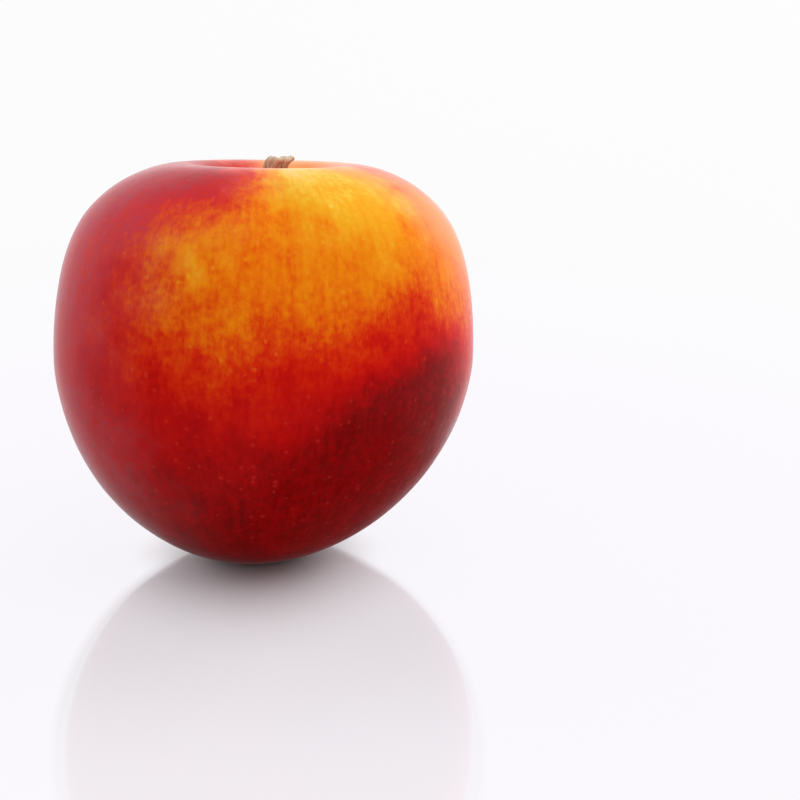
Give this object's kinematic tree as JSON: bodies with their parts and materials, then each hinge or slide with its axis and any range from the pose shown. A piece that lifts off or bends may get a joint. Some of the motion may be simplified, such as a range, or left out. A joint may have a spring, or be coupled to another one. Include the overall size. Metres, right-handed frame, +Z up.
{
  "type": "nectarine",
  "caption": "Whole ripe red-and-yellow nectarine with a stem cavity, a suture groove and a short dry stalk, resting on a small flat spot.",
  "frame": {"origin": "bottom centre of the fruit's bounding box, level with the flat spot that it rests on", "axes": "+Z up; -Y towards the suture, which faces the viewer; +X to the viewer's right"},
  "size_m": [0.0688, 0.0662, 0.0668],
  "materials": {
    "skin": "satin fruit skin, blushed crimson over orange and golden yellow, with fine pale flecks",
    "dry_stalk": "dry, ridged, grey-brown stalk with a paler broken end"
  },
  "bodies": {
    "root": {"nectarine": "skin", "stem_stub": "dry_stalk"}
  },
  "joints": []
}
